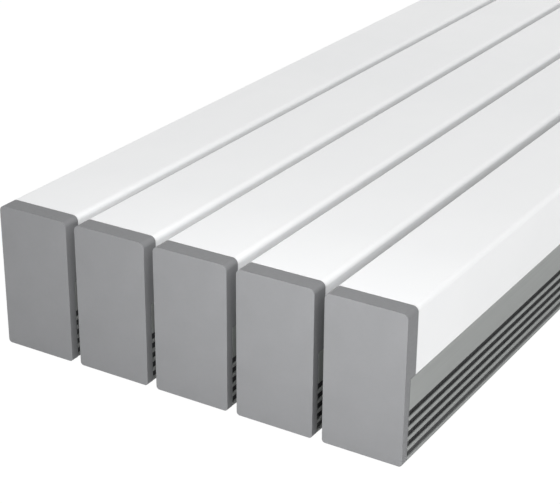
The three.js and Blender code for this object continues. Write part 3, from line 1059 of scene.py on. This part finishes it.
stud_profile = [
    (0, TRAY_TOP - 0.2), (2, TRAY_TOP - 0.2), (2, TRAY_TOP + 8.4), (1.5, TRAY_TOP + 9), (0, TRAY_TOP + 9),
]
stud = [
    lathe(stud_profile, "z", (STUD_X, STUD_Y, 0), 20),
    facing(washer(4.6, 0.9, 2.1), (0, 0, 1), (STUD_X, STUD_Y, TRAY_TOP)),
    facing(washer(4.2, 0.9, 2.1), (0, 0, 1), (STUD_X, STUD_Y, TRAY_TOP + 2.4)),
    facing(hex_nut(4.2, 3, 2.1), (0, 0, 1), (STUD_X, STUD_Y, TRAY_TOP + 3.5)),
]
stud_data = finished("earth_stud", stud, BRASS)
for name, material, paths in lead_pieces:
    data = finished(name, [tube(path, LEAD_RADIUS) for path in paths], material)
    for k, x in enumerate(MODULE_X, 1):
        piece(f"{name}_{k}", data, "base", x)
for k, x in enumerate(MODULE_X, 1):
    piece(f"earth_stud_{k}", stud_data, "base", x)

# ---------------------------------------------------------------- stiffeners inside each cover

SADDLE_Y = (-240, 0, 240)
SADDLE_HALF_WIDTH = 8
SADDLE_FOOT = 84
SADDLE_SHEET = 0.9
SADDLE_RIM = 4.5


def saddle_arch(depth):
    """The section of a saddle: it lies inside the cover's sheet and is depth thick."""
    outer, top = HALF - COVER_SHEET - 0.05, HEIGHT - COVER_SHEET - 0.05
    fold = COVER_RADIUS - COVER_SHEET
    points = [
        (outer, SADDLE_FOOT), (outer, top), (-outer, top), (-outer, SADDLE_FOOT),
        (depth - outer, SADDLE_FOOT), (depth - outer, top - depth), (outer - depth, top - depth),
        (outer - depth, SADDLE_FOOT),
    ]
    return rounded(points, [0, fold, fold, 0, 0, 2, 2, 0])


def saddles():
    made = []
    for y in SADDLE_Y:
        low, high = y - SADDLE_HALF_WIDTH, y + SADDLE_HALF_WIDTH
        made.append(prism(saddle_arch(SADDLE_SHEET), "y", low, high))
        made.append(prism(saddle_arch(SADDLE_RIM), "y", low, low + SADDLE_SHEET))
        made.append(prism(saddle_arch(SADDLE_RIM), "y", high - SADDLE_SHEET, high))
    return made


saddle_data = finished("cover_saddles", saddles(), ZINC)
for k, x in enumerate(MODULE_X, 1):
    piece(f"cover_saddles_{k}", saddle_data, f"lid_{k}", x)

# ---------------------------------------------------------------- parts that cross the bank

TIE_SHEET = 1.2
TIE_SCREW_Y = 7
DUCT_WALL = 0.9
DUCT_HOLE = 5.6


def tie_channel():
    """A channel, open downwards, through the lowest slots of every module."""
    side, top = TIE_WIDTH / 2 - TIE_SHEET / 2, CROSS_TOP - TIE_SHEET / 2
    line = [(-side, CROSS_FOOT), (-side, top), (side, top), (side, CROSS_FOOT)]
    return prism(ribbon(line, TIE_SHEET, 0.9), "x", -CROSS_SPAN, CROSS_SPAN)


def raceway_duct():
    """A closed duct with a hole for each module's leads."""
    low, high = RACEWAY_Y - RACEWAY_WIDTH / 2, RACEWAY_Y + RACEWAY_WIDTH / 2
    tunnel = rectangle(
        low + DUCT_WALL, high - DUCT_WALL, CROSS_FOOT + DUCT_WALL, CROSS_TOP - DUCT_WALL, 0.3
    )
    duct = prism(rectangle(low, high, CROSS_FOOT, CROSS_TOP, 0.8), "x", -CROSS_SPAN, CROSS_SPAN, [tunnel])
    for x in MODULE_X:
        hole = prism(circle(DUCT_HOLE, (x / MM, RACEWAY_Y), 28), "z", CROSS_TOP - 2, CROSS_TOP + 1)
        duct = combine(duct, [hole], "DIFFERENCE")
    return duct


def raceway_bushes():
    top = CROSS_TOP
    ring = [
        (4.7, top - 0.7), (5.5, top - 0.7), (5.5, top + 0.05), (7.2, top + 0.05),
        (7.2, top + 0.6), (5.4, top + 1.2), (4.7, top + 0.8),
    ]
    return [lathe(ring, "z", (x / MM, RACEWAY_Y, 0), 28) for x in MODULE_X]


def grommet_solid():
    """The rubber inlet grommet: a flange on each face of the cap, and a blind web across its bore."""
    neck, flange = GROMMET_RADIUS, GROMMET_FLANGE_RADIUS
    profile = [
        (0, -2.6), (5.2, -2.6), (6, -5), (flange - 1, -5), (flange - 1, -3.3), (neck, -3.3),
        (neck, -0.9), (flange, -0.9), (flange, -0.3), (flange - 0.4, 0), (6.6, 0), (5.2, -1.8),
        (3.6, -1.8), (3.4, -1.5), (3, -1.5), (2.8, -1.8), (0, -1.8),
    ]
    return lathe(profile, "y", (0, END, GROMMET_Z), 48)


tie_screws = [
    facing(SMALL_HEAD, (0, 0, 1), (x / MM, side * TIE_SCREW_Y, CROSS_TOP))
    for x in MODULE_X for side in (-1, 1)
]
tie_data = finished("tie_bar_channel", [tie_channel()], ZINC)
tie_screw_data = finished("tie_bar_screws", tie_screws, STEEL)
for end, y in (("near", -TIE_Y), ("far", TIE_Y)):
    for name, data, slot in (("channel", tie_data, "zinc_sheet"), ("screws", tie_screw_data, None)):
        made = piece(f"tie_bar_{name}_{end}", data, "base", 0, [f"tie_bar_{end}"])
        made.location.y = y * MM
duct_data = finished("raceway_duct", [raceway_duct()], ZINC)
piece("raceway_duct", duct_data, "base", 0, ["wiring_raceway"])
bush_data = finished("raceway_bushes", raceway_bushes(), RUBBER)
piece("raceway_bushes", bush_data, "base", 0, ["wiring_raceway"])
grommet_data = finished("inlet_grommet", [grommet_solid()], RUBBER)
piece("inlet_grommet", grommet_data, "base", MODULE_X[0], ["cable_grommet"])

# ---------------------------------------------------------------- studio


def studio_material(name, build):
    material = bpy.data.materials.new(name)
    material.use_nodes = True
    material.node_tree.nodes.clear()
    build(material.node_tree)
    return material


def floor_nodes(tree):
    """Pale paper that the camera sees nearly shadowless."""
    add = tree.nodes.new
    paper, glow, mix = add("ShaderNodeBsdfDiffuse"), add("ShaderNodeEmission"), add("ShaderNodeMixShader")
    path, share, out = add("ShaderNodeLightPath"), add("ShaderNodeMath"), add("ShaderNodeOutputMaterial")
    paper.inputs["Color"].default_value = (0.88, 0.88, 0.88, 1)
    glow.inputs["Strength"].default_value = FLOOR_GLOW
    share.operation = "MULTIPLY"
    share.inputs[1].default_value = FLOOR_GLOW_SHARE
    tree.links.new(path.outputs["Is Camera Ray"], share.inputs[0])
    tree.links.new(share.outputs[0], mix.inputs[0])
    tree.links.new(paper.outputs[0], mix.inputs[1])
    tree.links.new(glow.outputs[0], mix.inputs[2])
    tree.links.new(mix.outputs[0], out.inputs["Surface"])


def sky_nodes(tree):
    """White to the camera. As light it is brighter near the horizon than overhead."""
    add = tree.nodes.new
    path, place, split = add("ShaderNodeLightPath"), add("ShaderNodeTexCoord"), add("ShaderNodeSeparateXYZ")
    fade, mix, sky = add("ShaderNodeMapRange"), add("ShaderNodeMath"), add("ShaderNodeBackground")
    fade.inputs["From Min"].default_value = 0.0
    fade.inputs["From Max"].default_value = 1.0
    fade.inputs["To Min"].default_value = SKY_HORIZON
    fade.inputs["To Max"].default_value = SKY_ZENITH
    mix.operation = "MAXIMUM"
    tree.links.new(place.outputs["Generated"], split.inputs[0])
    tree.links.new(split.outputs["Z"], fade.inputs["Value"])
    tree.links.new(fade.outputs[0], mix.inputs[0])
    tree.links.new(path.outputs["Is Camera Ray"], mix.inputs[1])
    tree.links.new(mix.outputs[0], sky.inputs["Strength"])
    out = add("ShaderNodeOutputWorld")
    tree.links.new(sky.outputs[0], out.inputs["Surface"])


def softbox(name, place, target, size, power):
    """A rectangular studio light at place, facing target. size is its width and height in metres."""
    data = bpy.data.lights.new(name, "AREA")
    data.shape = "RECTANGLE"
    data.size, data.size_y = size
    data.energy = power
    light = bpy.data.objects.new(name, data)
    bpy.context.scene.collection.objects.link(light)
    light.location = place
    light.rotation_euler = (Vector(target) - Vector(place)).to_track_quat("-Z", "Y").to_euler()
    light.visible_camera = False


FLOOR_REACH = 30
FLOOR_Z = -0.0004
FLOOR_GLOW = 1.02
FLOOR_GLOW_SHARE = 0.97  # how much of the floor the camera sees as glow, not as lit paper
SKY_HORIZON = 1.45
SKY_ZENITH = 0.68

floor_data = bpy.data.meshes.new("floor")
floor_data.from_pydata(
    [(x * FLOOR_REACH, y * FLOOR_REACH, FLOOR_Z) for x, y in ((-1, -1), (1, -1), (1, 1), (-1, 1))],
    [], [(0, 1, 2, 3)],
)
floor_data.materials.append(studio_material("pale_floor", floor_nodes))
floor = bpy.data.objects.new("floor", floor_data)
bpy.context.scene.collection.objects.link(floor)

world = bpy.data.worlds.new("studio")
world.use_nodes = True
world.node_tree.nodes.clear()
sky_nodes(world.node_tree)
bpy.context.scene.world = world
bpy.context.scene.view_settings.view_transform = "Standard"

softbox("low_fill", (0.16, -0.85, 0.11), (0.13, -0.5, 0.11), (0.08, 0.12), 0.156)
softbox("high_fill", (0.14, -0.82, 0.30), (0.13, -0.5, 0.10), (0.10, 0.10), 0.9)
softbox("front_box", (0.9, -2.6, 0.6), (0, 0, 0.1), (1.6, 0.8), 11.6)
softbox("key_box", (1.3, 0.9, 1.6), (0.1, 0.2, 0.1), (0.8, 0.6), 7.5)

# ---------------------------------------------------------------- camera

CAMERA_PLACE = Vector((0.58892, -1.34245, 0.58836))
CAMERA_RIGHT = Vector((0.85305, 0.52177, 0.00729))
CAMERA_AHEAD = Vector((-0.47273, 0.77864, -0.41260))
CAMERA_LENS = 99.891
SENSOR_WIDTH = 36

camera_data = bpy.data.cameras.new("camera")
camera_data.lens = CAMERA_LENS
camera_data.sensor_fit = "HORIZONTAL"
camera_data.sensor_width = SENSOR_WIDTH
camera_data.clip_start = 0.01
camera_data.clip_end = 100
camera = bpy.data.objects.new("camera", camera_data)
bpy.context.scene.collection.objects.link(camera)
ahead = CAMERA_AHEAD.normalized()
right = (CAMERA_RIGHT - ahead * CAMERA_RIGHT.dot(ahead)).normalized()
up = right.cross(ahead)
camera.matrix_world = Matrix((right, up, -ahead)).transposed().to_4x4()
camera.location = CAMERA_PLACE
bpy.context.scene.camera = camera
